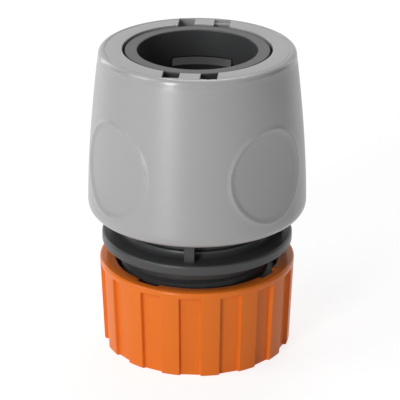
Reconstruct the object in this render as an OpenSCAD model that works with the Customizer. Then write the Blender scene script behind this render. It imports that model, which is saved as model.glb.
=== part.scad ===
// Quick connector for a 19 mm garden hose, standing on its hose end.
// Z is the axis, the origin is the middle of the face that it stands on, and all sizes are millimetres.
// The two locking claws lie on the Y axis. The sleeve slides down to open them.

/* [Socket] */
// Bore of the mouth that takes the spigot of a tap or tool
mouth_bore = 22.4; // [21.5:0.1:23.5]
// Bore that the spigot's seal ring runs in
seal_bore = 16.4; // [15.5:0.1:17]
// Length of the seal bore
seal_bore_len = 12; // [9:0.5:14]
// Waterway through the connector
waterway = 14; // [11:0.5:15]
// Wall of the collar round the mouth
collar_wall = 2.3; // [2:0.1:2.6]
// Depth of the mouth, down to the cone above the seal bore
mouth_depth = 14; // [12.5:0.5:16]

/* [Release sleeve] */
// Height of the sleeve
sleeve_h = 31.9; // [29:0.1:36]
// From the collar to the sleeve's outside at its widest place, near the lower edge
sleeve_room = 7.25; // [7:0.05:10.5]
// From the collar to the sleeve's outside at its upper edge
sleeve_top_room = 5.1; // [4.9:0.05:6]
// Wall at the widest place
sleeve_wall = 1.95; // [1.4:0.05:2.2]
// Thickness of the top plate
plate_t = 2.3; // [1.8:0.1:2.6]
// Gap between the collar and the sleeve
sleeve_gap = 0.35; // [0.25:0.05:0.5]
// How far the sleeve slides down to release
sleeve_stroke = 4; // [3.5:0.1:4]
// How far the collar's rim stands below the sleeve's top face
collar_sink = 0.25; // [0.1:0.05:0.8]
// Diameter of the four round grip dimples
dimple_d = 17.6; // [14:0.2:19]
// Depth of a grip dimple
dimple_depth = 0.55; // [0.3:0.05:0.8]

/* [Claws] */
// Width of a claw's tooth
tooth_w = 11.2; // [9:0.1:12]
// Height of a claw's tooth
tooth_h = 4.2; // [3.6:0.1:4.6]
// How far the teeth stand into the mouth
tooth_reach = 1.2; // [0.9:0.1:1.4]
// How far a claw moves out when the sleeve is down
claw_travel = 1.3; // [1.1:0.05:1.4]
// Width of the tab between the two notches over a claw
tab_w = 3.7; // [3.2:0.1:4.4]
// Width of one notch
notch_w = 3.1; // [2.8:0.1:3.4]
// Play of a claw in its window and on its ramps
claw_gap = 0.2; // [0.15:0.05:0.4]

/* [Spring] */
// Wire of the sleeve's spring
spring_wire = 1.2; // [0.9:0.1:1.4]
// Turns of the spring
spring_turns = 5; // [4:1:6]

/* [Flange and neck] */
// Gap between the flange and the sleeve above it
flange_gap = 4.3; // [4.3:0.1:6]
// Diameter of the flange
flange_d = 36.4; // [35:0.1:40]
// Thickness of the flange
flange_t = 2; // [1.5:0.1:2.5]
// Width of the upright ribs on the neck
rib_w = 1.85; // [1.4:0.05:2.4]
// How far out the upright ribs reach
rib_d = 32.8; // [30:0.1:34]

/* [Hose end] */
// Inside diameter of the hose
hose_bore = 19; // [18.5:0.1:19.5]
// Outside diameter of the hose
hose_od = 25; // [24:0.1:25.2]
// Height of the flange's underside above the ground
neck_top = 20.9; // [20.5:0.1:25]
// Crest of the neck's thread
thread_d = 29.6; // [29.4:0.1:30]
// Depth of the thread
thread_depth = 1.1; // [0.9:0.05:1.2]
// Rise of the thread in one turn
thread_pitch = 3.2; // [2.8:0.1:3.4]
// Play between the two threads
thread_gap = 0.3; // [0.25:0.05:0.4]
// Slotted fingers of the clamp ring
finger_count = 12; // [8:1:16]

/* [Coupling nut] */
// Height of the nut
nut_h = 17.4; // [17.2:0.1:18]
// Diameter of the nut at its top
nut_top_d = 37.3; // [37:0.1:42]
// Diameter of the nut at its foot
nut_foot_d = 36.1; // [35.8:0.1:41]
// Grip flutes round the nut
flute_count = 15; // [12:1:18]
// Depth of a flute
flute_depth = 0.8; // [0.4:0.05:0.9]
// Angle at which the nut has come to rest
nut_turn = 1.1; // [-12:0.1:12]

/* [Hidden] */
$fn = 96;

body_grey = "#4b4d50";
sleeve_grey = "#b4b6b8";
steel = "silver";
nut_orange = "#e46f2c";

// Heights, from the ground up
flange_top = neck_top + flange_t;
sleeve_foot = flange_top + flange_gap;
sleeve_top = sleeve_foot + sleeve_h;
collar_top = sleeve_top - collar_sink;
plate_under = sleeve_top - plate_t;

// The collar and what runs on it
mouth_r = mouth_bore / 2;
collar_r = mouth_r + collar_wall;
hole_r = collar_r + sleeve_gap;
mouth_floor = collar_top - mouth_depth;
seal_r = seal_bore / 2;
seal_top = mouth_floor - (mouth_r - seal_r) * 0.7;
seal_floor = seal_top - seal_bore_len;
way_r = waterway / 2;

// The claws, in the collar's two windows
tooth_top = collar_top - 5.4;
tooth_foot = tooth_top - tooth_h;
back_r = collar_r + 0.15;
back_t = 0.95;
back_w = tooth_w + 2.8;
back_foot = tooth_foot - 0.4;
back_top = tooth_top - 2.3;
ramp_slope = claw_travel / sleeve_stroke;
ramp_foot_y = back_r + back_t + 0.15;
pad_w = notch_w - 2 * claw_gap;
notch_mid = (tab_w + notch_w) / 2;
ramp_end = back_top + sleeve_stroke;
notch_y = ramp_foot_y + ramp_slope * (ramp_end - back_foot);

// The sleeve's shell
sleeve_r = collar_r + sleeve_room;
sleeve_top_r = collar_r + sleeve_top_room;
foot_round = 1.9;
rim_round = 0.9;
edge_round = 0.25;
step_depth = 0.5;
step_len = 1.4;
shell_r = sleeve_r - sleeve_wall;
shell_top_r = sleeve_top_r - 1.45;
seat_z = back_foot - 2.7;

// The flange, its ribs and the ledge that the spring stands on
ledge_r = shell_r - sleeve_gap;
ledge_t = 1.5;
ledge_top = flange_top + 8;
neck_r = collar_r - 0.3;
key_w = 2;
key_r = collar_r + 1;

// The spring
coil_r = collar_r + 2.1;
spring_foot = ledge_top + 0.05;
spring_head = seat_z - 0.05;

// The hose end
tail_r = hose_bore / 2;
skirt_bore_r = hose_od / 2 + 0.2;
skirt_foot = 11.5;
shoulder_z = neck_top - 2.45;
root_r = thread_d / 2 - thread_depth;
crest_r = thread_d / 2;
shoulder_r = crest_r - 0.35;
thread_base = thread_pitch * 0.54;
thread_tip = thread_pitch * 0.27;
neck_thread_foot = skirt_foot + 1.1;
neck_thread_top = shoulder_z - 0.45;
// The neck's ridge lies this high at the front, where it shows over the nut
thread_front_z = shoulder_z - 1.25;
neck_thread_start = -90 - 360 * (thread_front_z - neck_thread_foot) / thread_pitch;

// The nut's inside, and the clamp ring in it
nut_root_r = crest_r + thread_gap + 0.05;
nut_crest_r = root_r + thread_gap;
nut_rise = thread_pitch;
ring_top = skirt_foot - nut_rise - 0.15;
ring_gap = 0.15;
cone_top_z = 5.5;
cone_foot_z = 0.8;
cone_top_r = nut_root_r;
cone_foot_r = nut_root_r - 1.2;
nut_thread_foot = ring_top + 1.1;
nut_thread_top = shoulder_z - nut_rise - 1.25;
// The nut's ridge starts where the neck's groove is at that height, half a pitch from its ridge
nut_thread_start = neck_thread_start + 360 * (nut_thread_foot - neck_thread_foot) / thread_pitch + 180;
relief_angle = 150.9;
lip_r = nut_root_r + 0.6;
lip_foot = nut_h - 1.5;
flute_step = 360 / flute_count;

// Points of an arc, from one angle to another
function arc(centre, r, from, to, steps = 10) = [
    for (i = [0 : steps])
        let (a = from + (to - from) * i / steps)
            [centre[0] + r * cos(a), centre[1] + r * sin(a)]
];

// Radius of the sleeve's barrel at a height, a shallow curve that is steepest at the top
function barrel_r(z) =
    let (t = (z - sleeve_foot - foot_round) / (sleeve_h - foot_round))
        sleeve_r - (sleeve_r - sleeve_top_r) * pow(max(t, 0), 1.55);

// Points of the barrel's outline between two heights, set in from the surface
function barrel_curve(z0, z1, inset = 0, steps = 14) = [
    for (i = [1 : steps])
        let (z = z0 + (z1 - z0) * i / (steps + 1))
            [barrel_r(z) - inset, z]
];

// A right-hand thread ridge: a blunt wedge swept up a helix, tapering away at both ends
module thread_ridge(base_r, tip_r, base_h, tip_h, z0, z1, start) {
    steps = 32;
    last = round((z1 - z0) / thread_pitch * steps);
    fade = 5;
    out = sign(tip_r - base_r);
    sink = 0.35;
    rings = [
        for (i = [0 : last])
            let (
                a = start + 360 * i / steps,
                z = z0 + thread_pitch * i / steps,
                k = min(1, i / fade, (last - i) / fade) * 0.97 + 0.03,
                tip = base_r + (tip_r - base_r) * k,
                root = base_r - out * sink
            )
            for (p = [[root, -base_h / 2], [root, base_h / 2], [tip, tip_h / 2], [tip, -tip_h / 2]])
                [p[0] * cos(a), p[0] * sin(a), z + p[1]]
    ];
    sides = [
        for (i = [0 : last - 1], j = [0 : 3], half = [0, 1])
            let (a = 4 * i + j, b = 4 * i + (j + 1) % 4)
                half == 0 ? [a, a + 4, b] : [b, a + 4, b + 4]
    ];
    ends = [[0, 1, 2], [0, 2, 3], [4 * last + 2, 4 * last + 1, 4 * last], [4 * last + 3, 4 * last + 2, 4 * last]];
    faces = concat(sides, ends);
    turned = [for (f = faces) [f[2], f[1], f[0]]];
    polyhedron(points = rings, faces = out > 0 ? faces : turned, convexity = 8);
}

// Copies for the front claw, at -Y, and the rear claw, at +Y
module both_claws() {
    for (a = [0, 180])
        rotate([0, 0, a]) children();
}

// A block standing on z, centred on the Y axis and reaching from one y to another
module bar(width, y0, y1, z0, z1, x = 0) {
    translate([x - width / 2, y0, z0])
        cube([width, y1 - y0, z1 - z0]);
}

// One moulding: collar, socket, spring ledge, flange, threaded skirt and hose tail
module connector_body() {
    color(body_grey)
        union() {
            difference() {
                union() {
                    body_outside();
                    body_ribs();
                }
                body_bores();
                both_claws() claw_window();
                hose_gap();
            }
            hose_tail();
            neck_thread();
        }
}

module body_outside() {
    rotate_extrude()
        polygon(concat(
            [[0, skirt_foot + 0.5], [root_r - 0.5, skirt_foot], [root_r, skirt_foot + 0.5]],
            [[root_r, shoulder_z - 0.5], [shoulder_r, shoulder_z], [shoulder_r, neck_top]],
            arc([flange_d / 2 - 0.4, neck_top + 0.4], 0.4, -90, 0, 5),
            arc([flange_d / 2 - 0.5, flange_top - 0.5], 0.5, 0, 90, 6),
            arc([neck_r + 2, flange_top + 1.4], 1.4, -90, -163, 6),
            [[neck_r, flange_top + 1.1]],
            [[neck_r, ledge_top - ledge_t - 1], [neck_r + 1, ledge_top - ledge_t]],
            arc([ledge_r - 0.3, ledge_top - ledge_t + 0.3], 0.3, -90, 0, 4),
            arc([ledge_r - 0.3, ledge_top - 0.3], 0.3, 0, 90, 4),
            [[collar_r, ledge_top]],
            arc([collar_r - edge_round, collar_top - edge_round], edge_round, 0, 90, 4),
            [[0, collar_top]]
        ));
}

// Four upright ribs carry the ledge, and two keys on the collar stop the sleeve from turning
module body_ribs() {
    for (a = [0 : 90 : 270])
        rotate([0, 0, a])
            bar(rib_w, neck_r - 1, rib_d / 2, flange_top - 0.5, ledge_top - ledge_t + 0.5);
    for (a = [90, 270])
        rotate([0, 0, a])
            bar(key_w, collar_r - 1, key_r, seat_z - 6.5, plate_under - sleeve_stroke - 0.6);
}

module body_bores() {
    rotate_extrude()
        polygon(concat(
            [[0, 0], [way_r, 0], [way_r, seal_floor - 0.8], [seal_r, seal_floor], [seal_r, seal_top]],
            [[mouth_r, mouth_floor]],
            arc([mouth_r + edge_round, collar_top - edge_round], edge_round, 180, 90, 4),
            [[mouth_r + edge_round, collar_top + 1], [0, collar_top + 1]]
        ));
}

module claw_window() {
    bar(
        tooth_w + 2 * claw_gap, mouth_r - 4, collar_r + 2,
        tooth_foot - claw_gap, tooth_top + claw_gap
    );
}

// Round gap between the tail and the skirt, which takes the end of the hose
module hose_gap() {
    rotate_extrude()
        polygon([
            [tail_r, 0], [skirt_bore_r + 0.5, 0], [skirt_bore_r + 0.5, skirt_foot],
            [skirt_bore_r, skirt_foot + 0.8], [skirt_bore_r, shoulder_z - 0.4],
            [skirt_bore_r - 0.8, shoulder_z + 0.4], [tail_r, shoulder_z + 0.4]
        ]);
}

// Barbed tube that the hose is pushed on
module hose_tail() {
    tail_foot = 1;
    barb = 0.55;
    barb_step = 3.1;
    barbs = [
        for (i = [0 : 2])
            let (z = tail_foot + 1.2 + i * barb_step)
                each [[tail_r, z], [tail_r + barb, z + barb_step - 1.3], [tail_r, z + barb_step - 1.2]]
    ];
    rotate_extrude()
        polygon(concat(
            [[way_r, tail_foot], [tail_r - 0.6, tail_foot], [tail_r, tail_foot + 0.8]],
            barbs,
            [[tail_r, shoulder_z + 1], [way_r, shoulder_z + 1]]
        ));
}

module neck_thread() {
    thread_ridge(
        root_r, crest_r, thread_base, thread_tip,
        neck_thread_foot, neck_thread_top, neck_thread_start
    );
}

// Shell of the sleeve, open below, with its ramps, ribs, notches and dimples
module release_sleeve() {
    color(sleeve_grey)
        difference() {
            union() {
                difference() {
                    sleeve_outside();
                    sleeve_inside();
                }
                intersection() {
                    sleeve_outside();
                    union() {
                        both_claws() for (s = [-1, 1]) ramp_block(s);
                        sleeve_ribs();
                    }
                }
            }
            sleeve_hole();
            both_claws() for (s = [-1, 1]) notch(s);
            for (a = [45 : 90 : 315])
                rotate([0, 0, a]) dimple();
        }
}

module sleeve_outside() {
    rotate_extrude()
        polygon(concat(
            [[0, sleeve_foot]],
            arc([sleeve_r - foot_round, sleeve_foot + foot_round], foot_round, -70, 0, 10),
            barrel_curve(sleeve_foot + foot_round, sleeve_top - rim_round),
            arc([sleeve_top_r - rim_round, sleeve_top - rim_round], rim_round, 8, 90, 8),
            [[0, sleeve_top]]
        ));
}

// The lower part of the inside is a plain bore that runs on the body's ledge
module sleeve_inside() {
    guide_top = ledge_top + sleeve_stroke + 1;
    rotate_extrude()
        polygon(concat(
            [[0, sleeve_foot - 1], [shell_r + 0.5, sleeve_foot - 1], [shell_r + 0.5, sleeve_foot + 0.1]],
            [[shell_r, sleeve_foot + 0.7], [shell_r, guide_top]],
            arc([shell_top_r - 0.8, plate_under - 0.8], 0.8, 6, 90, 6),
            [[0, plate_under]]
        ));
}

module sleeve_hole() {
    translate([0, 0, seat_z - 10])
        cylinder(r = hole_r, h = sleeve_top - seat_z + 20);
    rotate_extrude()
        polygon([
            [hole_r - 1, sleeve_top - edge_round], [hole_r, sleeve_top - edge_round],
            [hole_r + 2 * edge_round, sleeve_top + edge_round], [hole_r - 1, sleeve_top + edge_round]
        ]);
}

// Block under a notch. The cut that notch() makes in it is the ramp for a claw's pad.
module ramp_block(side) {
    bar(notch_w - 0.2, hole_r, sleeve_r, seat_z, plate_under + 0.5, side * notch_mid);
}

// Notch in the top plate. It narrows downwards along the slope that drives the claw.
// One of each pair has a shallow step along its outer end.
module notch(side) {
    low = seat_z - 1;
    step_y = side > 0 ? notch_y - step_len : notch_y;
    translate([side * notch_mid - notch_w / 2, 0, 0])
        rotate([90, 0, 90])
            linear_extrude(height = notch_w)
                polygon([
                    [hole_r - 2, low],
                    [ramp_foot_y - ramp_slope * (back_foot - low), low],
                    [notch_y, ramp_end],
                    [notch_y, plate_under],
                    [step_y, plate_under],
                    [step_y, sleeve_top - step_depth],
                    [notch_y, sleeve_top - step_depth],
                    [notch_y, sleeve_top + 1],
                    [hole_r - 2, sleeve_top + 1]
                ]);
}

// Upright ribs inside the sleeve: their feet are the spring's upper seat, and a pair holds each key
module sleeve_ribs() {
    rib_t = 1.3;
    pair = (key_w + 2 * claw_gap + rib_t) / 2;
    for (a = [90, 270], s = [-1, 1])
        rotate([0, 0, a])
            bar(rib_t, hole_r, sleeve_r, seat_z, plate_under + 0.5, s * pair);
    for (a = [45 : 90 : 315])
        rotate([0, 0, a])
            bar(rib_t, hole_r, sleeve_r, seat_z, plate_under + 0.5);
}

// Round dimple. Its floor follows the barrel, and a half-deep step round it forms the rim.
module dimple() {
    dimple_cut(dimple_d, dimple_depth / 2);
    dimple_cut(dimple_d - 1, dimple_depth);
}

module dimple_cut(d, depth) {
    z = sleeve_foot + 13;
    reach = d / 2 + 2;
    difference() {
        translate([0, sleeve_r + 1, z])
            rotate([90, 0, 0])
                cylinder(d = d, h = 8);
        rotate_extrude()
            polygon(concat(
                [[0, z - reach]],
                barrel_curve(z - reach, z + reach, depth, 8),
                [[0, z + reach]]
            ));
    }
}

// A claw: the tooth in the window, a curved back plate outside the collar, and a pad under each notch
module claw() {
    color(body_grey)
        union() {
            difference() {
                intersection() {
                    bar(tooth_w, 0, collar_r + 2, tooth_foot, tooth_top);
                    tube(mouth_r / 2, mouth_r + 1.1, tooth_foot, tooth_top);
                }
                translate([0, -tooth_reach, 0]) tooth_face();
            }
            intersection() {
                bar(tooth_w, 0, collar_r + 2, tooth_foot, back_top);
                tube(mouth_r + 0.5, back_r + 0.3, tooth_foot, back_top);
            }
            intersection() {
                bar(back_w, 0, collar_r + 4, back_foot, back_top);
                tube(back_r, back_r + back_t, back_foot, back_top);
            }
            for (s = [-1, 1]) claw_pad(s);
        }
}

module tube(r0, r1, z0, z1) {
    difference() {
        translate([0, 0, z0]) cylinder(r = r1, h = z1 - z0);
        translate([0, 0, z0 - 1]) cylinder(r = r0, h = z1 - z0 + 2);
    }
}

// The tooth's face has the mouth's own radius, so that it clears the mouth when the claw is out.
// Its upper edge is the slope that the spigot's shoulder pushes on.
module tooth_face() {
    rotate_extrude()
        polygon([
            [0, tooth_foot - 1], [mouth_r, tooth_foot - 1], [mouth_r, tooth_top - 1.1],
            [mouth_r + 1.3, tooth_top + 0.2], [0, tooth_top + 0.2]
        ]);
}

// Wedge on the back plate, parallel to the sleeve's ramp
module claw_pad(side) {
    face = ramp_foot_y - 0.1;
    translate([side * notch_mid - pad_w / 2, 0, 0])
        rotate([90, 0, 90])
            linear_extrude(height = pad_w)
                polygon([
                    [back_r + 0.2, back_foot],
                    [face, back_foot],
                    [face + ramp_slope * (back_top - back_foot), back_top],
                    [back_r + 0.2, back_top]
                ]);
}

module locking_claw_front() {
    rotate([0, 0, 180]) claw();
}

module locking_claw_rear() {
    claw();
}

// Compression spring with its two end turns closed
module release_spring() {
    sides = 8;
    steps = 24;
    wire = spring_wire / 2;
    span = spring_head - spring_foot - spring_wire;
    count = spring_turns * steps;
    closed = steps;
    open = count - 2 * closed;
    lift = spring_wire * 1.02;
    function height(i) =
        i < closed ? lift * i / closed
        : i > count - closed ? span - lift * (count - i) / closed
        : lift + (span - 2 * lift) * (i - closed) / open;
    points = [
        for (i = [0 : count], j = [0 : sides - 1])
            let (a = 360 * i / steps + 40, b = 360 * j / sides, r = coil_r + wire * cos(b))
                [r * cos(a), r * sin(a), spring_foot + wire + height(i) + wire * sin(b)]
    ];
    skin = [
        for (i = [0 : count - 1], j = [0 : sides - 1], half = [0, 1])
            let (a = sides * i + j, b = sides * i + (j + 1) % sides)
                half == 0 ? [a, b, a + sides] : [b, b + sides, a + sides]
    ];
    first = [for (j = [sides - 1 : -1 : 0]) j];
    end = [for (j = [0 : sides - 1]) sides * count + j];
    color(steel)
        polyhedron(points = points, faces = concat(skin, [first], [end]), convexity = 10);
}

// Ring of slotted fingers that the nut's cone presses on the hose
module hose_clamp_ring() {
    slot_w = 1.2;
    slot_top = ring_top - 1.8;
    color(body_grey)
        difference() {
            rotate_extrude()
                polygon([
                    [skirt_bore_r + 0.05, 1.1], [cone_foot_r - 0.35, 1.1],
                    [cone_foot_r - ring_gap + 0.04, 1.4],
                    [cone_top_r - ring_gap, cone_top_z + 0.3], [cone_top_r - ring_gap, ring_top],
                    [skirt_bore_r + 0.5, ring_top], [skirt_bore_r + 0.5, slot_top],
                    [skirt_bore_r - 0.3, slot_top - 1.4], [skirt_bore_r + 0.25, slot_top - 1.6],
                    [skirt_bore_r - 0.3, slot_top - 3.1], [skirt_bore_r + 0.25, slot_top - 3.3]
                ]);
            for (i = [0 : finger_count - 1])
                rotate([0, 0, i * 360 / finger_count])
                    bar(slot_w, hose_od / 2 - 2, nut_top_d / 2, 0, slot_top);
        }
}

// Fluted nut with an inside thread above and a cone below
module coupling_nut() {
    color(nut_orange)
        rotate([0, 0, nut_turn])
            union() {
                difference() {
                    nut_outside();
                    nut_bore();
                    for (i = [0 : 3])
                        rotate([0, 0, relief_angle - nut_turn + 90 * i]) lip_relief();
                    for (i = [0 : flute_count - 1])
                        rotate([0, 0, i * flute_step]) flute();
                }
                nut_thread();
            }
}

module nut_outside() {
    top_r = nut_top_d / 2;
    foot_r = nut_foot_d / 2;
    rotate_extrude()
        polygon(concat(
            [[0, 0]],
            arc([foot_r - 1, 1], 1, -90, 0, 6),
            arc([top_r - 0.8, nut_h - 0.8], 0.8, 0, 90, 6),
            [[0, nut_h]]
        ));
}

module nut_bore() {
    rotate_extrude()
        polygon([
            [0, -1], [cone_foot_r + 1, -1], [cone_foot_r + 0.6, 0], [cone_foot_r, cone_foot_z],
            [cone_top_r, cone_top_z], [nut_root_r, lip_foot - 0.8], [lip_r, lip_foot],
            [lip_r, nut_h - 0.4], [lip_r + 0.4, nut_h], [lip_r + 0.4, nut_h + 1], [0, nut_h + 1]
        ]);
}

// Shallow relief in the lip, one of four
module lip_relief() {
    bar(4.9, lip_r - 1, lip_r + 0.75, lip_foot, nut_h + 1);
}

// Flute between two grip ribs, open at the foot and closed below the nut's plain band
module flute() {
    half = 6.15;
    top = nut_h - 1.1;
    foot_r = nut_foot_d / 2;
    top_r = nut_top_d / 2;
    lean = atan((top_r - foot_r) / nut_h);
    rotate([0, 0, 180])
        translate([0, foot_r - flute_depth, 0])
            rotate([-lean, 0, 0])
                translate([0, 0, -2])
                    linear_extrude(height = top + 2)
                        polygon([
                            [-foot_r * sin(half) + 0.35, -0.1], [foot_r * sin(half) - 0.35, -0.1],
                            [foot_r * sin(half) + 0.15, 2], [-foot_r * sin(half) - 0.15, 2]
                        ]);
}

module nut_thread() {
    thread_ridge(
        nut_root_r, nut_crest_r, thread_base, thread_tip,
        nut_thread_foot, nut_thread_top, nut_thread_start - nut_turn
    );
}

connector_body();
release_sleeve();
locking_claw_front();
locking_claw_rear();
release_spring();
hose_clamp_ring();
coupling_nut();
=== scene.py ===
# %% [markdown]
# # A garden hose quick connector
#
# The connector stands on its hose end. Its pieces come from a finished CAD model,
# so their sizes and places are fixed. What is left to make is the look: soft
# dimples in the grey sleeve, rounded grip ribs on the orange nut, a spring that is
# really round, and the surfaces of moulded plastic. A plain mesh from CAD could be
# rendered as it is, but light shows every hard edge and every flat facet on a
# moulding, so the pieces that the eye rests on are made again here on the same
# dimensions, and the rest get fine bevels.

# %% Load the frame
import math
import bmesh
import bpy
from mathutils import Matrix, Vector


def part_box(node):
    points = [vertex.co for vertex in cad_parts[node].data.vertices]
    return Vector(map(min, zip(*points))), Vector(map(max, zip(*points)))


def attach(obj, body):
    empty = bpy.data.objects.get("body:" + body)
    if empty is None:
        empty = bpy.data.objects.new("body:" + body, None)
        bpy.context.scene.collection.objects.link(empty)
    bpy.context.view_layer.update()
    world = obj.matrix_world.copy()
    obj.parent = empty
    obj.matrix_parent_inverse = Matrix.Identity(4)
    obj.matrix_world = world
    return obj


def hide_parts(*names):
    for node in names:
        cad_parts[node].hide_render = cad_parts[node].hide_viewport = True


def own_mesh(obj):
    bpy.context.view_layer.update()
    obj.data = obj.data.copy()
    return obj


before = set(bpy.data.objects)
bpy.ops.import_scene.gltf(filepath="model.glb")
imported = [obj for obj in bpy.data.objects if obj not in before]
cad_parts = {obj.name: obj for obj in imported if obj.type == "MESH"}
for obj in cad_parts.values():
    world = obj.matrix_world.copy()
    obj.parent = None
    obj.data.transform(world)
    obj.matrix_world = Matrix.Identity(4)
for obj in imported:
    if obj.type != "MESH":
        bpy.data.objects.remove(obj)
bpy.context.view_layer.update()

# %% [markdown]
# ## Millimetres, outlines and turned shapes
#
# Nearly everything on this product is turned round one axis. An outline is a short
# list of corners, each with its radius of rounding, as on a drawing. A helper
# turns the corners into arcs, and another spins the outline round Z. Blender's
# Screw modifier could do the spinning, but a mesh made in code can be pressed in
# at the dimples afterwards, vertex by vertex.

# %% Outlines
MM = 0.001


def mm(*values):
    """Lengths in millimetres, in the scene's metres."""
    return tuple(v * MM for v in values)


def rounded(corners, steps=6, closed=True):
    """An outline of (r, z, rounding) corners, in millimetres, with arcs at the corners."""
    count = len(corners)
    points = []
    for i, (r, z, rounding) in enumerate(corners):
        here = Vector((r, z))
        ends = not closed and i in (0, count - 1)
        if rounding <= 0 or ends:
            points.append(here)
            continue
        before = Vector(corners[i - 1][:2]) - here
        after = Vector(corners[(i + 1) % count][:2]) - here
        half = before.angle(after) / 2
        back = min(rounding / math.tan(half), before.length * 0.49, after.length * 0.49)
        start = here + before.normalized() * back
        end = here + after.normalized() * back
        for k in range(steps + 1):
            t = k / steps
            a = start.lerp(here, t)
            b = here.lerp(end, t)
            points.append(a.lerp(b, t))
    return points


def arc(r, z, radius, start, end, steps):
    """Points of an arc round (r, z), from one angle to another in degrees."""
    turns = [math.radians(start + (end - start) * i / steps) for i in range(steps + 1)]
    return [Vector((r + radius * math.cos(t), z + radius * math.sin(t))) for t in turns]


test_corner = rounded([(0, 0, 0), (10, 0, 2), (10, 10, 0)], closed=False)
print("a corner of 10 mm legs rounded by 2 mm has", len(test_corner), "points")


# %% Spin an outline
def even(steps):
    """Angles evenly round a circle, in degrees."""
    return [360 * i / steps for i in range(steps)]


def spin(bm, points, angles, shape):
    """Spins a closed outline round Z. shape(radius, height, degrees) may move a point in or out."""
    rings = []
    for angle in angles:
        turn = math.radians(angle)
        ring = []
        for p in points:
            r = shape(p[0], p[1], angle)
            ring.append(bm.verts.new(mm(r * math.cos(turn), r * math.sin(turn), p[1])))
        rings.append(ring)
    for i, ring in enumerate(rings):
        after = rings[(i + 1) % len(rings)]
        for j in range(len(points)):
            k = (j + 1) % len(points)
            bm.faces.new((ring[j], after[j], after[k], ring[k]))


# %% From a bmesh to an object
def mesh_object(name, bm, smooth_angle=35):
    """An object from a bmesh, shaded smooth up to an angle."""
    bmesh.ops.recalc_face_normals(bm, faces=bm.faces)
    mesh = bpy.data.meshes.new(name)
    bm.to_mesh(mesh)
    bm.free()
    obj = bpy.data.objects.new(name, mesh)
    bpy.context.scene.collection.objects.link(obj)
    soften(obj, smooth_angle)
    return obj


def soften(obj, smooth_angle):
    """Smooth shading, with edges sharper than the angle kept sharp."""
    mesh = obj.data
    mesh.shade_smooth()
    mesh.set_sharp_from_angle(angle=math.radians(smooth_angle))


def triangles(obj):
    """Number of triangles that the finished object has."""
    evaluated = obj.evaluated_get(bpy.context.evaluated_depsgraph_get())
    return sum(len(p.vertices) - 2 for p in evaluated.data.polygons)


# %% [markdown]
# ## Plastic
#
# There are four plastics: a matt light grey for the sleeve, a satin charcoal for the
# body, an acetal for the claws, black and darker than the body's charcoal as painted
# shade for the deep bore they sit in, and a satin orange for the nut. Moulded plastic
# has one colour all through. What the eye reads as plastic is the fine grain that
# the mould's surface leaves, a faint unevenness in the gloss, and rims that handling
# has rubbed smooth. One plain roughness could stand for all of this, but then the
# surface looks like paint. These effects are shared, so each is a node group that
# every plastic uses with its own values.


# %% A node group with named sockets
def new_group(name, inputs, outputs):
    """An empty shader group, with its input and output nodes."""
    group = bpy.data.node_groups.new(name, "ShaderNodeTree")
    for label, kind, value in inputs:
        socket = group.interface.new_socket(name=label, in_out="INPUT", socket_type=kind)
        socket.default_value = value
    for label, kind in outputs:
        group.interface.new_socket(name=label, in_out="OUTPUT", socket_type=kind)
    return group, group.nodes.new("NodeGroupInput"), group.nodes.new("NodeGroupOutput")


def math_node(tree, operation, a, b=None):
    """A Math node on two values or sockets. Gives its output."""
    node = tree.nodes.new("ShaderNodeMath")
    node.operation = operation
    for slot, value in ((0, a), (1, b)):
        if value is None:
            continue
        if isinstance(value, bpy.types.NodeSocket):
            tree.links.new(value, node.inputs[slot])
        else:
            node.inputs[slot].default_value = value
    return node.outputs[0]


def noise(tree, coordinates, scale, detail=2.0, roughness=0.5):
    """A Noise texture's value."""
    node = tree.nodes.new("ShaderNodeTexNoise")
    node.inputs["Detail"].default_value = detail
    node.inputs["Roughness"].default_value = roughness
    tree.links.new(coordinates, node.inputs["Vector"])
    if isinstance(scale, bpy.types.NodeSocket):
        tree.links.new(scale, node.inputs["Scale"])
    else:
        node.inputs["Scale"].default_value = scale
    return node.outputs["Fac"]


# %% Mould grain: a fine even bump
COARSE_SIZE = 0.31
COARSE_SHARE = 0.6

grain_group, g_in, g_out = new_group(
    "mould_grain",
    [("Vector", "NodeSocketVector", (0, 0, 0)), ("Grains per metre", "NodeSocketFloat", 3000.0)],
    [("Height", "NodeSocketFloat")],
)
fine = noise(grain_group, g_in.outputs["Vector"], g_in.outputs["Grains per metre"], 1.0)
coarse_scale = math_node(grain_group, "MULTIPLY", g_in.outputs["Grains per metre"], COARSE_SIZE)
coarse = noise(grain_group, g_in.outputs["Vector"], coarse_scale, 1.0)
coarse_part = math_node(grain_group, "MULTIPLY", coarse, COARSE_SHARE)
grain_group.links.new(math_node(grain_group, "ADD", coarse_part, fine), g_out.inputs["Height"])
print("group", grain_group.name, "with", len(grain_group.nodes), "nodes")

# %% [markdown]
# The sleeve's mould was turned on a lathe, and its fine lines stay on the barrel.
# They run round the product and fade at its two rims, where hands rub them away.
# The lines are a noise that is squeezed flat, so that it changes quickly upwards and
# hardly at all round the barrel. A picture of lines could be wrapped round it
# instead, but that needs a map and blurs close up. The group also puts out the
# rubbed rims as a mask.

# %% Turned lines and rubbed rims
LINE_STRETCH = 0.07

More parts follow.
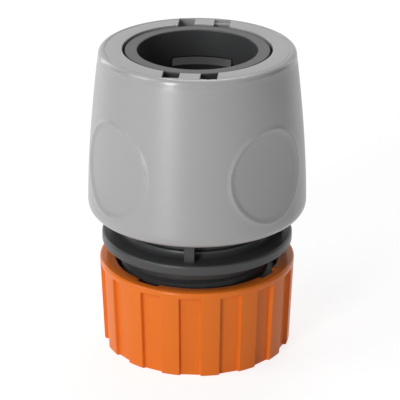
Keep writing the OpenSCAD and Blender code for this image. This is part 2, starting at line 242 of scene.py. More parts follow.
lines_group, g_in, g_out = new_group(
    "turned_lines",
    [
        ("Vector", "NodeSocketVector", (0, 0, 0)),
        ("Lines per metre", "NodeSocketFloat", 8000.0),
        ("Low", "NodeSocketFloat", 0.0),
        ("High", "NodeSocketFloat", 1.0),
        ("Fade", "NodeSocketFloat", 0.001),
    ],
    [("Height", "NodeSocketFloat"), ("Rim", "NodeSocketFloat")],
)
parts = lines_group.nodes.new("ShaderNodeSeparateXYZ")
lines_group.links.new(g_in.outputs["Vector"], parts.inputs[0])
squeezed = lines_group.nodes.new("ShaderNodeCombineXYZ")
for axis in ("X", "Y"):
    stretched = math_node(lines_group, "MULTIPLY", parts.outputs[axis], LINE_STRETCH)
    lines_group.links.new(stretched, squeezed.inputs[axis])
lines_group.links.new(parts.outputs["Z"], squeezed.inputs["Z"])
streaks = noise(lines_group, squeezed.outputs[0], g_in.outputs["Lines per metre"], 2.0)
fades = []
for near, far in (("Z", "Low"), ("High", "Z")):
    ends = [parts.outputs[n] if n == "Z" else g_in.outputs[n] for n in (near, far)]
    inside = math_node(lines_group, "SUBTRACT", *ends)
    share = math_node(lines_group, "DIVIDE", inside, g_in.outputs["Fade"])
    share.node.use_clamp = True
    fades.append(share)
unrubbed = math_node(lines_group, "MULTIPLY", *fades)
height = math_node(lines_group, "MULTIPLY", streaks, unrubbed)
lines_group.links.new(height, g_out.inputs["Height"])
lines_group.links.new(math_node(lines_group, "SUBTRACT", 1.0, unrubbed), g_out.inputs["Rim"])
print("group", lines_group.name, "with", len(lines_group.nodes), "nodes")

# %% Uneven gloss: the roughness wanders a little over the surface
GLOSS_PATCHES = 160.0

gloss_group, g_in, g_out = new_group(
    "uneven_gloss",
    [
        ("Vector", "NodeSocketVector", (0, 0, 0)),
        ("Roughness", "NodeSocketFloat", 0.5),
        ("Spread", "NodeSocketFloat", 0.08),
    ],
    [("Roughness", "NodeSocketFloat")],
)
patch = noise(gloss_group, g_in.outputs["Vector"], GLOSS_PATCHES, 3.0, 0.6)
swing = math_node(gloss_group, "SUBTRACT", patch, 0.5)
offset = math_node(gloss_group, "MULTIPLY", swing, g_in.outputs["Spread"])
wandering = math_node(gloss_group, "ADD", offset, g_in.outputs["Roughness"])
gloss_group.links.new(wandering, g_out.inputs["Roughness"])
print("group", gloss_group.name, "with", len(gloss_group.nodes), "nodes")

# %% Tint: the colour drifts by a few parts in a hundred, as pigment does in a moulding
PIGMENT_CLOUDS = 70.0

tint_group, g_in, g_out = new_group(
    "pigment_drift",
    [
        ("Vector", "NodeSocketVector", (0, 0, 0)),
        ("Color", "NodeSocketColor", (0.5, 0.5, 0.5, 1)),
        ("Drift", "NodeSocketFloat", 0.04),
    ],
    [("Color", "NodeSocketColor")],
)
cloud = noise(tint_group, g_in.outputs["Vector"], PIGMENT_CLOUDS, 4.0, 0.55)
swing = math_node(tint_group, "SUBTRACT", cloud, 0.5)
lift = math_node(tint_group, "MULTIPLY", swing, g_in.outputs["Drift"])
gain = math_node(tint_group, "ADD", lift, 1.0)
scaled = tint_group.nodes.new("ShaderNodeVectorMath")
scaled.operation = "SCALE"
tint_group.links.new(g_in.outputs["Color"], scaled.inputs[0])
tint_group.links.new(gain, scaled.inputs["Scale"])
tint_group.links.new(scaled.outputs[0], g_out.inputs["Color"])
print("group", tint_group.name, "with", len(tint_group.nodes), "nodes")

# %% [markdown]
# A plastic is one Principled shader with the groups in front of it. Fine lines
# stretch a highlight across themselves, which is why the sleeve shows one long
# bright band from top to foot. The bump alone can't do this, because the lines are
# finer than a pixel, so the shader's own anisotropy does it, along a tangent that
# runs round Z.

# %% How a plastic is put together
DRIFT = 0.04
GLOSS_SPREAD = 0.08
GRAIN_DEPTH = 0.00004
LINE_DEPTH = 0.00003
LINE_BUMP = 0.6
LINE_PULL = 0.7
QUARTER_TURN = 0.25
PLASTIC_IOR = 1.49


def place(tree, group, coordinates, **values):
    """Puts a group in a material. Names of values have _ where the socket has a space."""
    node = tree.nodes.new("ShaderNodeGroup")
    node.node_tree = group
    tree.links.new(coordinates, node.inputs["Vector"])
    for label, value in values.items():
        node.inputs[label.replace("_", " ")].default_value = value
    return node


def plastic(name, color, roughness, grains, bump, specular=0.5, ends=None, polish=0.0, lines=False):
    """A moulded plastic: pigment drift, uneven gloss and mould grain.

    ends=(low, high) are heights in millimetres, beyond which the surface is rubbed: polish
    is taken from its roughness there. lines adds the turned lines between the ends.
    """
    material = bpy.data.materials.new(name)
    material.use_nodes = True
    tree = material.node_tree
    shader = tree.nodes["Principled BSDF"]
    coordinates = tree.nodes.new("ShaderNodeTexCoord").outputs["Object"]
    tint = place(tree, tint_group, coordinates, Color=(*color, 1), Drift=DRIFT)
    tree.links.new(tint.outputs["Color"], shader.inputs["Base Color"])
    gloss = place(tree, gloss_group, coordinates, Roughness=roughness, Spread=GLOSS_SPREAD)
    tree.links.new(gloss.outputs["Roughness"], shader.inputs["Roughness"])
    grain = place(tree, grain_group, coordinates, Grains_per_metre=grains)
    surface = tree.nodes.new("ShaderNodeBump")
    surface.inputs["Strength"].default_value = bump
    surface.inputs["Distance"].default_value = GRAIN_DEPTH
    tree.links.new(grain.outputs["Height"], surface.inputs["Height"])
    if ends:
        turned = place(tree, lines_group, coordinates, Low=ends[0] * MM, High=ends[1] * MM)
        rubbed = math_node(tree, "MULTIPLY", turned.outputs["Rim"], polish)
        smoother = math_node(tree, "SUBTRACT", gloss.outputs["Roughness"], rubbed)
        tree.links.new(smoother, shader.inputs["Roughness"])
    if lines:
        ridged = tree.nodes.new("ShaderNodeBump")
        ridged.inputs["Strength"].default_value = LINE_BUMP
        ridged.inputs["Distance"].default_value = LINE_DEPTH
        tree.links.new(turned.outputs["Height"], ridged.inputs["Height"])
        tree.links.new(ridged.outputs["Normal"], surface.inputs["Normal"])
        around = tree.nodes.new("ShaderNodeTangent")
        around.direction_type = "RADIAL"
        around.axis = "Z"
        tree.links.new(around.outputs[0], shader.inputs["Tangent"])
        shader.inputs["Anisotropic"].default_value = LINE_PULL
        shader.inputs["Anisotropic Rotation"].default_value = QUARTER_TURN
    tree.links.new(surface.outputs["Normal"], shader.inputs["Normal"])
    shader.inputs["IOR"].default_value = PLASTIC_IOR
    shader.inputs["Specular IOR Level"].default_value = specular
    return material


# %% The four plastics
SLEEVE_GREY = (0.355, 0.355, 0.355)
BODY_GREY = (0.054, 0.0555, 0.0572)
# The claws' black is darker than the body's charcoal: painted shade for the deep bore that the
# claws sit in.
CLAW_BLACK_WITH_PAINTED_SHADE = (0.030, 0.031, 0.0325)
NUT_ORANGE = (0.78, 0.176, 0.015)
SLEEVE_LINES = (29.0, 57.8)
NUT_UNRUBBED = (-2.0, 17.3)
FINE_GRAIN = 2600.0
sleeve_plastic = plastic(
    "matt grey plastic", SLEEVE_GREY, roughness=0.40, grains=3400.0, bump=0.40, specular=0.8,
    ends=SLEEVE_LINES, polish=0.16, lines=True,
)
body_plastic = plastic(
    "charcoal plastic", BODY_GREY, roughness=0.36, grains=FINE_GRAIN, bump=0.16, specular=0.38,
)
# The claws' plastic carries that darker black: the claws' own dark colour, with painted shade for
# the bore added on top.
claw_plastic_with_painted_shade = plastic("black acetal with painted shade", CLAW_BLACK_WITH_PAINTED_SHADE, roughness=0.34, grains=FINE_GRAIN, bump=0.10)
nut_plastic = plastic(
    "orange plastic", NUT_ORANGE, roughness=0.38, grains=FINE_GRAIN, bump=0.10, specular=0.25,
    ends=NUT_UNRUBBED, polish=0.2,
)
print("plastics", [m.name for m in (sleeve_plastic, body_plastic, claw_plastic_with_painted_shade, nut_plastic)])

# %% [markdown]
# ## Spring wire
#
# The spring under the sleeve is drawn stainless wire. It shows through the gap
# between the sleeve and the flange only as a glint, so a metal whose gloss is
# uneven is enough. It takes the same group as the plastics, with a wider spread.

# %% Steel
STEEL_GREY = (0.58, 0.58, 0.60)
WIRE_ROUGHNESS = 0.28
WIRE_SPREAD = 0.22


def drawn_steel(name):
    """Bright wire with an uneven gloss."""
    material = bpy.data.materials.new(name)
    material.use_nodes = True
    tree = material.node_tree
    shader = tree.nodes["Principled BSDF"]
    shader.inputs["Base Color"].default_value = (*STEEL_GREY, 1)
    shader.inputs["Metallic"].default_value = 1.0
    coordinates = tree.nodes.new("ShaderNodeTexCoord").outputs["Object"]
    gloss = place(tree, gloss_group, coordinates, Roughness=WIRE_ROUGHNESS, Spread=WIRE_SPREAD)
    tree.links.new(gloss.outputs["Roughness"], shader.inputs["Roughness"])
    return material


spring_steel = drawn_steel("drawn steel wire")
print("metal", spring_steel.name)

# %% [markdown]
# ## The release sleeve
#
# The sleeve is one moulding: a barrel with a slight taper, a flat top plate with
# four notches, and a round dimple for each finger. A dimple could be cut with a
# boolean, but then its edge is a hard line all the way round. The real edge is
# soft, so the barrel is spun from many rows of points, and the points that lie in
# a dimple are pressed in by a smooth function of their distance from its middle.
# The dimple's floor is flatter than the barrel, which is why its shade hardly
# changes from side to side.

# %% The sleeve's sizes, in millimetres
SLEEVE_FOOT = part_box("release_sleeve")[0][2] / MM
SLEEVE_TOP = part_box("release_sleeve")[1][2] / MM
SLEEVE_R = 20.75
SLEEVE_TOP_R = 18.3
FOOT_ROUND = 1.9
RIM_ROUND = 1.0
SHELL_R = 18.8
SHELL_TOP_R = 17.15
HOLE_R = 13.95
PLATE_UNDER = SLEEVE_TOP - 2.3
GUIDE_TOP = SLEEVE_FOOT + 8.7
SEAT = 46.15
TAPER = 1.6
ROW = 0.3
LINE_IN = 0.1
LINE_W = 0.26
PLATE_DISH = 0.02
FOOT_CHAMFER = (0.45, 0.7)
SMALL_ROUND = 0.2


def barrel(z):
    """Radius of the sleeve's barrel at a height."""
    t = (z - SLEEVE_FOOT - FOOT_ROUND) / (SLEEVE_TOP - SLEEVE_FOOT - FOOT_ROUND)
    return SLEEVE_R - (SLEEVE_R - SLEEVE_TOP_R) * max(t, 0) ** TAPER


print("sleeve from", round(SLEEVE_FOOT, 2), "to", round(SLEEVE_TOP, 2), "mm")


# %% The sleeve's outline
def sleeve_outline():
    """Closed outline of the sleeve's wall and top plate."""
    low, high = SLEEVE_FOOT + FOOT_ROUND, SLEEVE_TOP - RIM_ROUND
    rows = round((high - low) / ROW)
    foot = arc(SLEEVE_R - FOOT_ROUND, low, FOOT_ROUND, -72, 0, 9)
    side = [low + (high - low) * i / rows for i in range(1, rows)]
    rim = arc(barrel(high) - RIM_ROUND, high, RIM_ROUND, 2, 90, 9)
    line_r = rim[-1].x - LINE_IN
    inside = rounded([
        (*rim[-1], 0),
        (line_r, SLEEVE_TOP - PLATE_DISH, 0),
        (line_r - LINE_W / 2, SLEEVE_TOP - LINE_W / 2, 0),
        (line_r - LINE_W, SLEEVE_TOP - 0.04, 0.04),
        (HOLE_R, SLEEVE_TOP - PLATE_DISH, SMALL_ROUND),
        (HOLE_R, PLATE_UNDER, SMALL_ROUND),
        (SHELL_TOP_R, PLATE_UNDER, 0.8),
        (SHELL_R, GUIDE_TOP, 3),
        (SHELL_R, SLEEVE_FOOT + FOOT_CHAMFER[1], SMALL_ROUND),
        (SHELL_R + FOOT_CHAMFER[0], SLEEVE_FOOT + 0.02, SMALL_ROUND),
        (*foot[0], 0),
    ], 5, closed=False)
    return foot + [Vector((barrel(z), z)) for z in side] + rim + inside[1:-1]


print("the sleeve's outline has", len(sleeve_outline()), "points")


# %% The dimples
DIMPLE_Z = SLEEVE_FOOT + 12.3
DIMPLE_W = 8.75
DIMPLE_H = 9.2
DIMPLE_EDGE = 0.06
DIMPLE_CROWN = 0.85
DIMPLE_LIP = (0.9, 0.98)
DIMPLE_REACH = 40
DIMPLE_ANGLES = (43, 137, 223, 317)
BEAD = 0.19
BEAD_RISE = (0.86, 0.965)
BEAD_FALL = (0.97, 1.03)


def ease(low, high, value):
    """0 below low, 1 above high, and a smooth step between them."""
    t = min(1.0, max(0.0, (value - low) / (high - low)))
    return t * t * (3 - 2 * t)


def apart(a, b):
    """Angle between two directions, in degrees."""
    return abs((a - b + 180) % 360 - 180)


def dimple(z, angle):
    """How far the barrel is pressed in at a place. The bead round the dimple stands out."""
    nearest = min(apart(angle, a) for a in DIMPLE_ANGLES)
    if nearest > DIMPLE_REACH:
        return 0
    across = barrel(z) * math.sin(math.radians(nearest)) / DIMPLE_W
    q = math.hypot(across, (z - DIMPLE_Z) / DIMPLE_H)
    floor = DIMPLE_EDGE + DIMPLE_CROWN * max(0, 1 - q * q)
    bead = BEAD * ease(*BEAD_RISE, q) * (1 - ease(*BEAD_FALL, q))
    return floor * (1 - ease(*DIMPLE_LIP, q)) - bead


def pressed(r, z, angle):
    """The barrel's points go in at the dimples, and all the others stay."""
    between = SLEEVE_FOOT + FOOT_ROUND < z < SLEEVE_TOP - RIM_ROUND
    on_barrel = between and abs(r - barrel(z)) < 1e-4
    return r - dimple(z, angle) if on_barrel else r


print("a dimple is", round(dimple(DIMPLE_Z, DIMPLE_ANGLES[0]), 2), "mm deep in its middle")


# %% [markdown]
# The notches in the top plate are real openings: the ramps under them push the
# claws apart when the sleeve goes down. They are cut with a boolean, whose crisp
# edges are right here. The cutters reach down behind the plate, because the claws'
# pads move out into the wall there. The ramps and ribs are prisms in the same mesh.
# Spinning the plate with gaps in it would also leave openings, but not with the
# straight sides that these have.

# %% Notches, ramps and ribs
NOTCH_W = 3.1
NOTCH_MID = 3.4
NOTCH_Y = 16.8
RAMP_FOOT_Y = 14.75
RAMP_SLOPE = 0.325
RAMP_FOOT = 48.85
STEP = (1.4, 0.5)
RIB_T = 1.3
GUIDE_MID = 1.85
PAD_ROOM = 5.0
RAMP_PLAY = 0.2
PLATE_SINK = 0.4
RIB_SINK = 0.6
SEAT_IN = 0.3


def prism(bm, outline, x0, x1, turn):
    """Adds an outline in (y, z), drawn out along X and turned about Z by an angle in degrees."""
    spun = Matrix.Rotation(math.radians(turn), 3, "Z")
    ends = [[bm.verts.new(spun @ Vector(mm(x, y, z))) for y, z in outline] for x in (x0, x1)]
    bm.faces.new(ends[0])
    bm.faces.new(reversed(ends[1]))
    for j in range(len(outline)):
        k = (j + 1) % len(outline)
        bm.faces.new((ends[0][j], ends[1][j], ends[1][k], ends[0][k]))


def ramp_y(z):
    """Distance of a ramp from the middle, at a height."""
    return RAMP_FOOT_Y + RAMP_SLOPE * (z - RAMP_FOOT)


def notch_cutters():
    """One mesh that holds the four notches."""
    bm = bmesh.new()
    over = SLEEVE_TOP + 1
    low = PLATE_UNDER - PAD_ROOM
    for turn in (0, 180):
        for side in (-1, 1):
            inner = NOTCH_Y - STEP[0] if side > 0 else NOTCH_Y
            floor = SLEEVE_TOP - STEP[1]
            outline = [
                (HOLE_R - 2, low), (NOTCH_Y, low), (NOTCH_Y, PLATE_UNDER), (inner, PLATE_UNDER),
                (inner, floor), (NOTCH_Y, floor), (NOTCH_Y, over), (HOLE_R - 2, over),
            ]
            if side < 0:
                del outline[2:6]  # no step on this side
            middle = side * NOTCH_MID
            prism(bm, outline, middle - NOTCH_W / 2, middle + NOTCH_W / 2, turn)
    return mesh_object("notch_cutters", bm)


def inside_ribs(bm):
    """Adds the ramps under the notches, the spring's seats and the keys' guides."""
    under = PLATE_UNDER + PLATE_SINK
    half = (NOTCH_W - RAMP_PLAY) / 2
    wall_foot = (SHELL_R - SEAT_IN, SEAT)
    ramp = [
        (ramp_y(SEAT), SEAT), (NOTCH_Y, RAMP_FOOT + (NOTCH_Y - RAMP_FOOT_Y) / RAMP_SLOPE),
        (NOTCH_Y, under), (SHELL_TOP_R + PLATE_SINK, under), wall_foot,
    ]
    rib = [(HOLE_R, SEAT), (HOLE_R, under), (SHELL_TOP_R + RIB_SINK, under), wall_foot]
    for turn in (0, 180):
        for side in (-1, 1):
            prism(bm, ramp, side * NOTCH_MID - half, side * NOTCH_MID + half, turn)
            guide = side * GUIDE_MID
            prism(bm, rib, guide - RIB_T / 2, guide + RIB_T / 2, turn + 90)
    for turn in (45, 135, 225, 315):
        prism(bm, rib, -RIB_T / 2, RIB_T / 2, turn)


print("a ramp is", round(NOTCH_Y - ramp_y(SEAT), 2), "mm further out at its top than at its foot")


# %% Make the sleeve
BARREL_STEPS = 400
SLEEVE_SMOOTH = 28

shell = bmesh.new()
spin(shell, sleeve_outline(), even(BARREL_STEPS), pressed)
sleeve = mesh_object("sleeve", shell, SLEEVE_SMOOTH)
cutters = notch_cutters()
cut = sleeve.modifiers.new("notches", "BOOLEAN")
cut.operation = "DIFFERENCE"
cut.solver = "EXACT"
cut.object = cutters
depsgraph = bpy.context.evaluated_depsgraph_get()
done = bmesh.new()
done.from_object(sleeve, depsgraph)
inside_ribs(done)
bpy.data.objects.remove(cutters)
bpy.data.objects.remove(sleeve)
sleeve = mesh_object("sleeve", done, SLEEVE_SMOOTH)
sleeve.data.materials.append(sleeve_plastic)
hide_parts("release_sleeve")
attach(sleeve, "sleeve")
print("sleeve triangles", triangles(sleeve))

# %% [markdown]
# ## The coupling nut
#
# The nut's grip is a ring of broad ribs with flat-bottomed flutes between them.
# The light runs along the rounded corners of each rib, so the corners need points
# of their own. The outline is spun through angles that crowd together where a rib
# ends and stand far apart on its face, which costs far fewer faces than a bevel.

# %% The nut's sizes
NUT_H = 17.6
NUT_TOP_R = 18.7
NUT_FOOT_R = 18.05
NUT_TURN = 1.1
NUT_TOP_ROUND = 0.5
NUT_FOOT_ROUND = 0.35
FLUTES = 15
FLUTE_HALF = 6.2
FLUTE_EDGE = 0.38
FLUTE_DEPTH = 0.8
FLUTE_TOP = 16.3
ROW_STEP = 1.2
FLUTE_END_ROWS = [15.7, 15.85, 15.97, 16.08, 16.2, 16.32, 16.45, 16.8]
OUTER_WALL = 16.6
BEVEL_R = 17.4
LIP_R = 15.75
LIP_FOOT = 15.9
LIP_RELIEF = 0.75
RELIEF_HALF = 8.5
RELIEF_EDGE = 0.35
RELIEF_ANGLES = [240.9 + 90 * i for i in range(4)]
THREAD_ROOT_R = 15.15
THREAD_TIP_R = 14.0
CONE_R = 13.95
FOOT_HOLE_R = 14.55
CORNER_ANGLES = (-1.6, -1, -0.7, -0.4, -0.15, 0.15, 0.4, 0.7, 1, 1.6)
FLUTE_FACE = [0, 1.6, 3.2, 4.5]
RIB_FACE = [8.4, 10.2]
LEAST_STEP = 0.06


def flute_angles():
    """Middles of the flutes, in degrees."""
    return [270 + NUT_TURN + 360 / FLUTES * i for i in range(FLUTES)]


def nut_angles():
    """Angles of the nut's outline: close together at the ribs' corners and the lip's steps."""
    corner = [FLUTE_HALF + FLUTE_EDGE * t for t in CORNER_ANGLES]
    local = FLUTE_FACE + corner + RIB_FACE
    angles = [m + s * a for m in flute_angles() for a in local for s in (-1, 1)]
    for step in (-RELIEF_EDGE, 0, RELIEF_EDGE):
        angles += [m + s * (RELIEF_HALF + step) for m in RELIEF_ANGLES for s in (-1, 1)]
    in_order = sorted({round(a % 360, 2) for a in angles})
    return [a for i, a in enumerate(in_order) if i == 0 or a - in_order[i - 1] > LEAST_STEP]


print("the nut's outline is spun through", len(nut_angles()), "angles")


# %% The nut's outline
def nut_outline():
    """Closed outline of the nut's wall, with its cone and lip."""
    low, high = NUT_FOOT_ROUND, NUT_H - NUT_TOP_ROUND
    heights = [low + ROW_STEP * i for i in range(1, 13)] + FLUTE_END_ROWS
    wider = NUT_TOP_R - NUT_FOOT_R
    side = [Vector((NUT_FOOT_R + wider * (z - low) / (high - low), z)) for z in heights]
    inside = rounded([
        (NUT_TOP_R - NUT_TOP_ROUND, NUT_H, 0),
        (BEVEL_R, NUT_H, 0.5),
        (LIP_R, NUT_H - 0.25, 0.3),
        (LIP_R, LIP_FOOT, 0.15),
        (THREAD_ROOT_R, 15.1, 0.3),
        (THREAD_ROOT_R, 5.5, 0.6),
        (CONE_R, 0.8, 0.4),
        (FOOT_HOLE_R, 0, 0.15),
        (NUT_FOOT_R - NUT_FOOT_ROUND, 0, 0),
    ], 4, closed=False)
    foot = arc(NUT_FOOT_R - NUT_FOOT_ROUND, low, NUT_FOOT_ROUND, -90, 0, 5)
    rim = arc(NUT_TOP_R - NUT_TOP_ROUND, high, NUT_TOP_ROUND, 0, 90, 8)
    return foot + side + rim + inside[1:-1]


def fluted(r, z, angle):
    """Presses the flutes into the nut's wall, and the reliefs into its lip."""
    if r > OUTER_WALL:
        off = min(apart(angle, m) for m in flute_angles())
        flat = NUT_FOOT_R - FLUTE_DEPTH + (NUT_TOP_R - NUT_FOOT_R) * z / NUT_H
        floor = flat / math.cos(math.radians(off))
        share = 1 - ease(FLUTE_HALF - FLUTE_EDGE, FLUTE_HALF + FLUTE_EDGE, off)
        share *= 1 - ease(FLUTE_TOP - 0.5, FLUTE_TOP + 0.2, z)
        return r - max(0, r - floor) * share
    if z > LIP_FOOT - 0.01:
        off = min(apart(angle, m) for m in RELIEF_ANGLES)
        inner, outer = RELIEF_HALF - RELIEF_EDGE, RELIEF_HALF + RELIEF_EDGE
        return r + LIP_RELIEF * (1 - ease(inner, outer, off))
    return r


print("the nut's outline has", len(nut_outline()), "points")


# %% [markdown]
# The nut's inside thread is a blunt wedge swept up a helix. It is made here and
# not left in the CAD mesh, because the nut is one piece and this mesh stands for
# all of it. It starts half a pitch away from the ridge on the body's neck, so that
# the two never meet while the nut turns.

# %% A thread ridge
PITCH = 3.2
THREAD_STEPS = 48
ROOT_HALF = 0.27
TIP_HALF = 0.12
ROOT_SINK = 0.3
RUN_OUT = 8


def thread_ridge(bm, base_r, tip_r, z0, z1, start):
    """Adds a right-hand ridge from z0 to z1. Both of its ends run out into the wall."""
    last = round((z1 - z0) / PITCH * THREAD_STEPS)
    root = base_r + (-ROOT_SINK if tip_r > base_r else ROOT_SINK)
    rings = []
    for i in range(last + 1):
        turn = math.radians(start) + 2 * math.pi * i / THREAD_STEPS
        rise = z0 + PITCH * i / THREAD_STEPS
        keep = 0.03 + 0.97 * min(1, i / RUN_OUT, (last - i) / RUN_OUT)
        tip = base_r + (tip_r - base_r) * keep
        section = [(root, -ROOT_HALF), (root, ROOT_HALF), (tip, TIP_HALF), (tip, -TIP_HALF)]
        rings.append([
            bm.verts.new(mm(r * math.cos(turn), r * math.sin(turn), rise + h * PITCH))
            for r, h in section
        ])
    for a, b in zip(rings, rings[1:]):
        for j in range(4):
            k = (j + 1) % 4
            bm.faces.new((a[j], b[j], b[k], a[k]))
    bm.faces.new(rings[0])
    bm.faces.new(reversed(rings[-1]))


# %% Make the nut
NUT_THREAD = (9.25, 14.0)
NECK_RIDGE_FRONT = 17.2
NUT_SMOOTH = 40

nut_thread_start = -90 + 360 * (NUT_THREAD[0] - NECK_RIDGE_FRONT) / PITCH + 180
wall = bmesh.new()
spin(wall, nut_outline(), nut_angles(), fluted)
thread_ridge(wall, THREAD_ROOT_R, THREAD_TIP_R, *NUT_THREAD, nut_thread_start)
nut = mesh_object("nut", wall, NUT_SMOOTH)
nut.data.materials.append(nut_plastic)
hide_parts("coupling_nut")
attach(nut, "nut")
print("nut triangles", triangles(nut))

# %% [markdown]
# ## The spring
#
# The CAD spring has a coarse eight-sided wire. Here the wire is a curve with a
# round bevel, on the same radius and between the same seats. Its two end turns lie
# closed, as they do on a real compression spring.

# %% Wind the spring
WIRE = 1.2
COIL_R = 15.6
COIL_TURNS = 5
COIL_STEPS = 36
COIL_START = 40
CLOSED_LIFT = 1.02
SPRING_SMOOTH = 60
spring_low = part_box("release_spring")[0][2] / MM
spring_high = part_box("release_spring")[1][2] / MM


def coil_height(turn):
    """Height of the wire's middle after some turns. The first and last turns are closed."""
    lift = WIRE * CLOSED_LIFT
    span = spring_high - spring_low - WIRE
    if turn < 1:
        return lift * turn
    if turn > COIL_TURNS - 1:
        return span - lift * (COIL_TURNS - turn)
    return lift + (span - 2 * lift) * (turn - 1) / (COIL_TURNS - 2)


coil_curve = bpy.data.curves.new("spring", "CURVE")
coil_curve.dimensions = "3D"
coil_curve.bevel_depth = WIRE / 2 * MM
coil_curve.bevel_resolution = 4
coil_curve.use_fill_caps = True
coil = coil_curve.splines.new("POLY")
coil.points.add(COIL_TURNS * COIL_STEPS)
for i, point in enumerate(coil.points):
    turn = i / COIL_STEPS
    a = math.radians(COIL_START) + 2 * math.pi * turn
    height = spring_low + WIRE / 2 + coil_height(turn)
    point.co = (*mm(COIL_R * math.cos(a), COIL_R * math.sin(a), height), 1)
wound = bpy.data.objects.new("spring_curve", coil_curve)
bpy.context.scene.collection.objects.link(wound)
depsgraph = bpy.context.evaluated_depsgraph_get()
wound_mesh = bpy.data.meshes.new_from_object(wound.evaluated_get(depsgraph))
wire = bmesh.new()
wire.from_mesh(wound_mesh)
bpy.data.objects.remove(wound)
bpy.data.meshes.remove(wound_mesh)
spring = mesh_object("spring", wire, SPRING_SMOOTH)
spring.data.materials.append(spring_steel)
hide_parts("release_spring")
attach(spring, "body")
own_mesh(spring)
print("spring triangles", triangles(spring))

# %% [markdown]
# ## The dark mouldings
#
# The body, the two claws and the clamp ring keep their CAD shape. A narrow bevel
# takes the knife edges off, so that each edge catches a thin line of light as a
# moulded edge does. They could be made again like the sleeve and the nut, but they
# lie in shadow for the most part, and a bevel shows all that can be seen there.

# %% Finishes and bevels on the CAD nodes
EDGE = 0.14
EDGE_ANGLE = 50
DARK_MOULDINGS = {
    "connector_body": body_plastic,
    "locking_claw_front": claw_plastic_with_painted_shade,
    "locking_claw_rear": claw_plastic_with_painted_shade,
    "hose_clamp_ring": body_plastic,
}
for node, finish in DARK_MOULDINGS.items():
    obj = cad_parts[node]
    obj.data.materials.clear()
    obj.data.materials.append(finish)
    bevel = obj.modifiers.new("edges", "BEVEL")
    bevel.width = EDGE * MM
    bevel.segments = 2
    bevel.limit_method = "ANGLE"
    bevel.angle_limit = math.radians(EDGE_ANGLE)
    print(node, "triangles", triangles(obj))

# %% [markdown]
# ## Camera
#
# The camera's place was worked out from the ellipses that the connector's circles
# make in the photograph: 350 mm away, 180 mm up and looking down 23 degrees, with
# a long lens. The line through the two claws is turned 5 degrees from the view.

# %% The photograph's view
SENSOR = 36.0
LENS = 180.0
CLAW_LINE = math.radians(5)
VIEW_PLACE = mm(0.547, -350.34, 179.83)
VIEW_PITCH = math.radians(23.371)
VIEW_ROLL = math.radians(0.167)

camera_data = bpy.data.cameras.new("view")
camera_data.lens = LENS
camera_data.sensor_width = SENSOR
camera = bpy.data.objects.new("view", camera_data)
camera.matrix_world = (
    Matrix.Rotation(CLAW_LINE, 4, "Z")
    @ Matrix.Translation(VIEW_PLACE)
    @ Matrix.Rotation(math.pi / 2 - VIEW_PITCH, 4, "X")
    @ Matrix.Rotation(VIEW_ROLL, 4, "Z")
)
bpy.context.scene.collection.objects.link(camera)
bpy.context.scene.camera = camera
print("camera at", [round(v / MM, 1) for v in camera.matrix_world.translation], "mm")

# %% [markdown]
# ## Light and floor
#
# This is a product photograph on white. A soft key lamp stands high at the left. A
# tall strip at the front left draws the bright band down the sleeve and the glint
# on its rim, and a lamp above the back lights the top plate. The fill on the right
# and the two strips behind are weak. Their strengths were found by rendering each
# lamp by itself and fitting the sum to tones that were read in the photograph.
# One big white sky would be simpler, but it would light the barrel from all sides
# and flatten the band, so black cards stand at both sides instead. The white of the
# background comes from the world and the floor as the camera sees them, and not
# from more light on the object.


# %% World: white to the camera, soft grey to the object
def white_to_camera(tree, lit, white=1.0, extra=None):
    """Shows plain white, and extra on top of it, where the camera, gloss or glass looks."""
    path = tree.nodes.new("ShaderNodeLightPath")
    seen = math_node(tree, "MAXIMUM", path.outputs["Is Camera Ray"], path.outputs["Is Glossy Ray"])
    seen = math_node(tree, "MAXIMUM", seen, path.outputs["Is Transmission Ray"])
    in_world = lit.node.type == "BACKGROUND"
    glow = tree.nodes.new("ShaderNodeBackground" if in_world else "ShaderNodeEmission")
    glow.inputs["Color"].default_value = (1, 1, 1, 1)
    glow.inputs["Strength"].default_value = white
    shown = glow.outputs[0]
    if extra is not None:
        both = tree.nodes.new("ShaderNodeAddShader")
        tree.links.new(shown, both.inputs[0])
        tree.links.new(extra, both.inputs[1])
        shown = both.outputs[0]
    mix = tree.nodes.new("ShaderNodeMixShader")
    tree.links.new(seen, mix.inputs[0])
    tree.links.new(lit, mix.inputs[1])
    tree.links.new(shown, mix.inputs[2])
    return mix.outputs[0]


SKY_STRENGTH = 0.18

world = bpy.data.worlds.new("studio")
bpy.context.scene.world = world
world.use_nodes = True
sky = world.node_tree.nodes["Background"]
sky.inputs["Color"].default_value = (1, 1, 1, 1)
sky.inputs["Strength"].default_value = SKY_STRENGTH
world_out = world.node_tree.nodes["World Output"]
shown_sky = white_to_camera(world.node_tree, sky.outputs[0])
world.node_tree.links.new(shown_sky, world_out.inputs["Surface"])
print("world", world.name, "lights the object at", SKY_STRENGTH)

# %% Lamps
AIM = Vector((0, 0, 0.03))


def lamp(name, azimuth, elevation, distance, size, power):
    """A rectangular soft lamp that looks at the connector's middle. Azimuth 0 is the front."""
    data = bpy.data.lights.new(name, "AREA")
    data.shape = "RECTANGLE"
    data.size, data.size_y = size
    data.energy = power
    obj = bpy.data.objects.new(name, data)
    a, e = math.radians(azimuth), math.radians(elevation)
    direction = Vector((math.sin(a) * math.cos(e), -math.cos(a) * math.cos(e), math.sin(e)))
    obj.location = AIM + direction * distance
    obj.rotation_euler = direction.to_track_quat("Z", "Y").to_euler()
    bpy.context.scene.collection.objects.link(obj)
    print("lamp", name, "at", azimuth, "degrees with", power, "W")


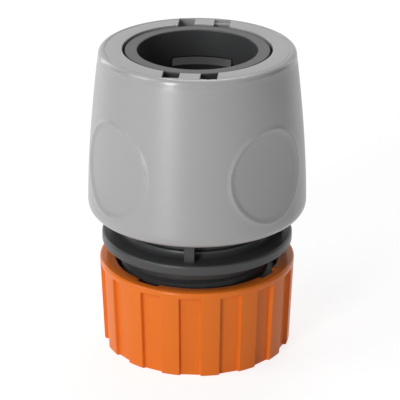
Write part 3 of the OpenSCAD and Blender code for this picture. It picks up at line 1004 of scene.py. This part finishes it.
lamp("key", azimuth=-70, elevation=38, distance=0.9, size=(0.45, 0.45), power=2.3)
lamp("tall strip", azimuth=-26, elevation=17, distance=0.9, size=(0.2, 0.6), power=4.2)
lamp("top", azimuth=180, elevation=60, distance=0.9, size=(0.4, 0.4), power=2.2)
lamp("fill", azimuth=80, elevation=20, distance=0.9, size=(0.4, 0.6), power=0.4)
lamp("left strip", azimuth=-128, elevation=10, distance=0.7, size=(0.14, 0.7), power=0.8)
lamp("right strip", azimuth=138, elevation=10, distance=0.7, size=(0.14, 0.7), power=0.3)

# %% Dark cards beside the lamps
CARD_BLACK = (0.02, 0.02, 0.02)
MATT = 0.9


def card(name, azimuth, distance, size):
    """A matt black card that stands beside the set. The camera doesn't see it."""
    bm = bmesh.new()
    bmesh.ops.create_grid(bm, x_segments=1, y_segments=1, size=0.5)
    obj = mesh_object(name, bm)
    a = math.radians(azimuth)
    direction = Vector((math.sin(a), -math.cos(a), 0))
    obj.scale = (*size, 1)
    obj.location = direction * distance + Vector((0, 0, size[1] / 2))
    obj.rotation_euler = direction.to_track_quat("Z", "Y").to_euler()
    obj.data.materials.append(card_black)
    obj.visible_camera = False
    print("card", name, size, "m")


card_black = bpy.data.materials.new("black card")
card_black.use_nodes = True
card_shader = card_black.node_tree.nodes["Principled BSDF"]
card_shader.inputs["Base Color"].default_value = (*CARD_BLACK, 1)
card_shader.inputs["Roughness"].default_value = MATT
card("right card", azimuth=92, distance=1.1, size=(1.3, 1.1))
card("left card", azimuth=-90, distance=1.1, size=(0.7, 1.1))

# %% [markdown]
# The floor is a white sheet. The camera sees it as an even white, with a grey
# diffuse layer on top that still takes the connector's soft shadow. A floor lit by
# lamps alone would come out grey towards the back, where they are far away.

# %% Floor
FLOOR_HALF = 1.5
FLOOR_WHITE = (0.9, 0.9, 0.9)
FLOOR_GLOW = 0.8
SHADOW_GREY = (0.3, 0.3, 0.3)

floor_bm = bmesh.new()
bmesh.ops.create_grid(floor_bm, x_segments=1, y_segments=1, size=FLOOR_HALF)
floor = mesh_object("floor", floor_bm)
floor_paint = bpy.data.materials.new("white floor")
floor_paint.use_nodes = True
paint_nodes = floor_paint.node_tree
paint = paint_nodes.nodes["Principled BSDF"]
paint.inputs["Base Color"].default_value = (*FLOOR_WHITE, 1)
paint.inputs["Roughness"].default_value = MATT
shadow = paint_nodes.nodes.new("ShaderNodeBsdfDiffuse")
shadow.inputs["Color"].default_value = (*SHADOW_GREY, 1)
floor_light = white_to_camera(paint_nodes, paint.outputs[0], FLOOR_GLOW, shadow.outputs[0])
paint_nodes.links.new(floor_light, paint_nodes.nodes["Material Output"].inputs["Surface"])
floor.data.materials.append(floor_paint)
print("floor", 2 * FLOOR_HALF, "m wide")

# %% Colour handling
bpy.context.scene.view_settings.view_transform = "Standard"
